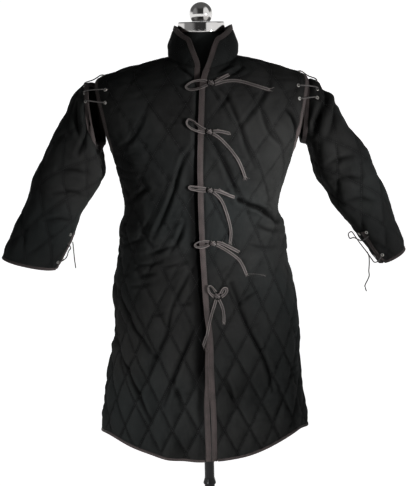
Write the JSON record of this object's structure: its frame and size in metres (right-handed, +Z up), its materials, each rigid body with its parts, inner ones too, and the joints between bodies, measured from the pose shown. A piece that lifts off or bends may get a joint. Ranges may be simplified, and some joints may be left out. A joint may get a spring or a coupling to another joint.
{
  "type": "gambeson on dress form stand",
  "caption": "Black quilted padded coat with laced-on sleeves, stand collar and tied front, worn by a limbless dress form on a pole with a round base.",
  "frame": {"origin": "centre of the base's underside, on the floor", "axes": "+Z up along the pole; -Y is the coat's front; +X is the wearer's left"},
  "size_m": [0.9458, 0.38, 1.5553],
  "materials": {
    "padded_canvas": "matt cotton canvas, quilted in diamonds over a padding",
    "binding_tape": "woven herringbone cotton tape, folded and stitched",
    "lace": "round twisted cotton lace",
    "form_jersey": "fine jersey stretched smooth",
    "polished_chrome": "polished",
    "black_enamel": "satin black stove enamel"
  },
  "bodies": {
    "root": {"armhole_binding_left": "binding_tape", "armhole_binding_right": "binding_tape", "back": "padded_canvas", "base": "black_enamel", "collar": "padded_canvas", "collar_binding": "binding_tape", "cuff_binding_left": "binding_tape", "cuff_binding_right": "binding_tape", "cuff_lace_left_cross": "lace", "cuff_lace_left_tail": "lace", "cuff_lace_right_cross": "lace", "cuff_lace_right_tail": "lace", "finial": "polished_chrome", "front_binding_left": "binding_tape", "front_binding_right": "binding_tape", "front_left": "padded_canvas", "front_right": "padded_canvas", "hem_binding_back": "binding_tape", "hem_binding_front_left": "binding_tape", "hem_binding_front_right": "binding_tape", "lower_pole": "black_enamel", "neck_cap": "polished_chrome", "pole_coupling": "black_enamel", "shoulder_lace_left_low": "lace", "shoulder_lace_left_middle": "lace", "shoulder_lace_left_top": "lace", "shoulder_lace_right_low": "lace", "shoulder_lace_right_middle": "lace", "shoulder_lace_right_top": "lace", "sleeve_head_binding_left": "binding_tape", "sleeve_head_binding_right": "binding_tape", "sleeve_left": "padded_canvas", "sleeve_right": "padded_canvas", "tie_1_knot": "binding_tape", "tie_1_loop_left": "binding_tape", "tie_1_loop_right": "binding_tape", "tie_1_tail": "binding_tape", "tie_2_knot": "binding_tape", "tie_2_loop_left": "binding_tape", "tie_2_loop_right": "binding_tape", "tie_2_tail": "binding_tape", "tie_3_knot": "binding_tape", "tie_3_loop_left": "binding_tape", "tie_3_loop_right": "binding_tape", "tie_3_tail": "binding_tape", "tie_4_knot": "binding_tape", "tie_4_loop_left": "binding_tape", "tie_4_loop_right": "binding_tape", "tie_4_tail": "binding_tape", "tie_5_knot": "binding_tape", "tie_5_loop_left": "binding_tape", "tie_5_loop_right": "binding_tape", "tie_5_tail": "binding_tape", "tie_5_tail_short": "binding_tape", "torso_form": "form_jersey", "upper_pole": "black_enamel"}
  },
  "joints": []
}
